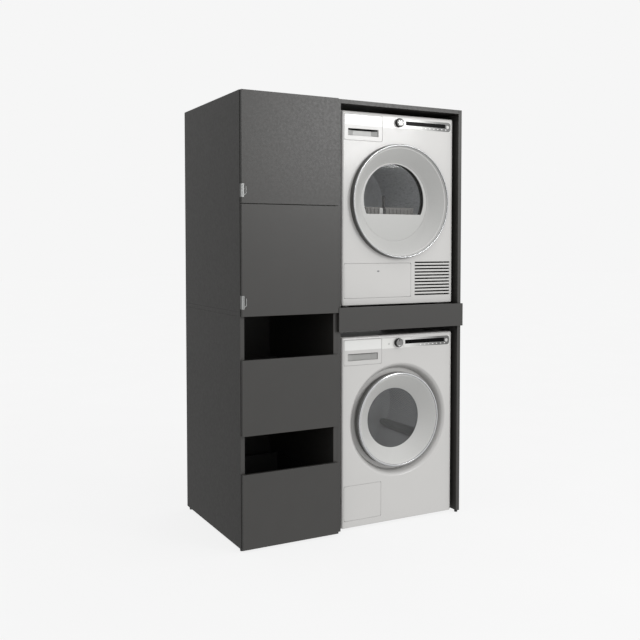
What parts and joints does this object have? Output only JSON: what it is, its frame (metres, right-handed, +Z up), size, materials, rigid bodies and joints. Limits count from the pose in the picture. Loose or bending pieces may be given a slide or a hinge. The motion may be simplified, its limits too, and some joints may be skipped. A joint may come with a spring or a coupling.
{
  "type": "laundry cabinet with stacked washer and dryer",
  "caption": "Laundry cabinet: a linen column with two doors and two pull-out bins beside a tower with a tumble dryer over a front-loading washing machine.",
  "frame": {"origin": "on the floor, under the middle of the whole object's box", "axes": "+Z up, -Y out of the fronts, +X to the right as one faces the doors"},
  "size_m": [1.118, 0.698, 1.898],
  "materials": {
    "graphite_laminate": "matt melamine-faced board, graphite grey",
    "dark_board": "black melamine-faced drawer board",
    "black_plastic": "moulded black",
    "chrome": "polished",
    "zinc_plate": "zinc-plated",
    "white_enamel": "satin white enamel",
    "white_plastic": "gloss white moulding",
    "silver_trim": "satin silver",
    "smoked_glass": "smoked, polished",
    "grey_rubber": "moulded grey",
    "drum_steel": "stainless",
    "motor_casting": "raw casting"
  },
  "bodies": {
    "cabinet": {"left_side_lower": "graphite_laminate", "left_side_upper": "graphite_laminate", "middle_side_lower": "graphite_laminate", "middle_side_upper": "graphite_laminate", "column_base": "graphite_laminate", "counter_board": "graphite_laminate", "column_shelf": "graphite_laminate", "column_top": "graphite_laminate", "column_back": "graphite_laminate", "tower_side_left": "graphite_laminate", "tower_side_right": "graphite_laminate", "tower_top": "graphite_laminate", "dryer_platform": "graphite_laminate", "glide_left_front": "black_plastic", "glide_left_rear": "black_plastic", "glide_middle_front": "black_plastic", "glide_middle_rear": "black_plastic", "glide_right_front": "black_plastic", "glide_right_rear": "black_plastic", "washer_tub": "black_plastic", "lower_door_hinge_bottom": "zinc_plate", "lower_door_hinge_top": "zinc_plate", "upper_door_hinge_bottom": "zinc_plate", "upper_door_hinge_top": "zinc_plate", "lower_bin_runners": "zinc_plate", "upper_bin_runners": "zinc_plate", "pull_out_runners": "zinc_plate", "washer_casing": "white_enamel", "washer_front_panel": "white_enamel", "dryer_casing": "white_enamel", "dryer_front_panel": "white_enamel", "washer_control_strip": "silver_trim", "dryer_control_strip": "silver_trim", "washer_door_gasket": "grey_rubber", "washer_motor": "motor_casting", "dryer_motor": "motor_casting"},
    "upper_door": {"upper_door": "graphite_laminate", "upper_door_pull": "chrome"},
    "lower_door": {"lower_door": "graphite_laminate", "lower_door_pull": "chrome"},
    "upper_bin": {"upper_bin_front": "graphite_laminate", "upper_bin_box": "dark_board"},
    "lower_bin": {"lower_bin_front": "graphite_laminate", "lower_bin_box": "dark_board"},
    "pull_out": {"pull_out_front": "graphite_laminate", "pull_out_tray": "dark_board"},
    "washer_door": {"washer_door_frame": "silver_trim", "washer_door_glass": "smoked_glass"},
    "washer_detergent_drawer": {"washer_detergent_drawer": "white_plastic"},
    "washer_filter_cover": {"washer_filter_cover": "white_plastic"},
    "washer_knob": {"washer_knob": "silver_trim"},
    "washer_start_button": {"washer_start_button": "chrome"},
    "washer_drum": {"washer_drum": "drum_steel"},
    "dryer_door": {"dryer_door_frame": "silver_trim", "dryer_door_glass": "smoked_glass"},
    "dryer_tank_drawer": {"dryer_tank_drawer": "white_plastic"},
    "dryer_condenser_cover": {"dryer_condenser_cover": "white_plastic"},
    "dryer_knob": {"dryer_knob": "silver_trim"},
    "dryer_start_button": {"dryer_start_button": "chrome"},
    "dryer_drum": {"dryer_drum": "drum_steel"}
  },
  "joints": [
    {"name": "upper_door_swing", "type": "hinge", "parent": "cabinet", "child": "upper_door", "pos_m": [-0.1155, -0.3424, 1.668], "axis": [0, 0, 1], "range_deg": [0, 90]},
    {"name": "lower_door_swing", "type": "hinge", "parent": "cabinet", "child": "lower_door", "pos_m": [-0.1155, -0.3424, 1.206], "axis": [0, 0, 1], "range_deg": [0, 90]},
    {"name": "upper_bin_slide", "type": "slide", "parent": "cabinet", "child": "upper_bin", "axis": [0, -1, 0], "range_m": [0, 0.45]},
    {"name": "lower_bin_slide", "type": "slide", "parent": "cabinet", "child": "lower_bin", "axis": [0, -1, 0], "range_m": [0, 0.45]},
    {"name": "pull_out_slide", "type": "slide", "parent": "cabinet", "child": "pull_out", "axis": [0, -1, 0], "range_m": [0, 0.4]},
    {"name": "washer_door_swing", "type": "hinge", "parent": "cabinet", "child": "washer_door", "pos_m": [0.44065, -0.311, 0.474], "axis": [0, 0, 1], "range_deg": [0, 95]},
    {"name": "washer_detergent_drawer_slide", "type": "slide", "parent": "cabinet", "child": "washer_detergent_drawer", "axis": [0, -1, 0], "range_m": [0, 0.25]},
    {"name": "washer_filter_cover_swing", "type": "hinge", "parent": "cabinet", "child": "washer_filter_cover", "pos_m": [0.03665, -0.306, 0.046], "axis": [1, 0, 0], "range_deg": [0, 90]},
    {"name": "washer_knob_turn", "type": "hinge", "parent": "cabinet", "child": "washer_knob", "pos_m": [0.22165, -0.316, 0.827], "axis": [0, 1, 0], "continuous": true},
    {"name": "washer_start_press", "type": "slide", "parent": "cabinet", "child": "washer_start_button", "axis": [0, 1, 0], "range_m": [0, 0.0012], "stiffness_N_per_m": 1500},
    {"name": "washer_drum_spin", "type": "hinge", "parent": "cabinet", "child": "washer_drum", "pos_m": [0.22665, -0.008, 0.474], "axis": [0, 1, 0], "continuous": true},
    {"name": "dryer_door_swing", "type": "hinge", "parent": "cabinet", "child": "dryer_door", "pos_m": [0.48865, -0.322, 1.466], "axis": [0, 0, 1], "range_deg": [0, 95]},
    {"name": "dryer_tank_drawer_slide", "type": "slide", "parent": "cabinet", "child": "dryer_tank_drawer", "axis": [0, -1, 0], "range_m": [0, 0.25]},
    {"name": "dryer_condenser_cover_swing", "type": "hinge", "parent": "cabinet", "child": "dryer_condenser_cover", "pos_m": [0.11565, -0.306, 1.039], "axis": [1, 0, 0], "range_deg": [0, 90]},
    {"name": "dryer_knob_turn", "type": "hinge", "parent": "cabinet", "child": "dryer_knob", "pos_m": [0.22165, -0.316, 1.819], "axis": [0, 1, 0], "continuous": true},
    {"name": "dryer_start_press", "type": "slide", "parent": "cabinet", "child": "dryer_start_button", "axis": [0, 1, 0], "range_m": [0, 0.0012], "stiffness_N_per_m": 1500},
    {"name": "dryer_drum_spin", "type": "hinge", "parent": "cabinet", "child": "dryer_drum", "pos_m": [0.22665, -0.008, 1.466], "axis": [0, 1, 0], "continuous": true}
  ]
}
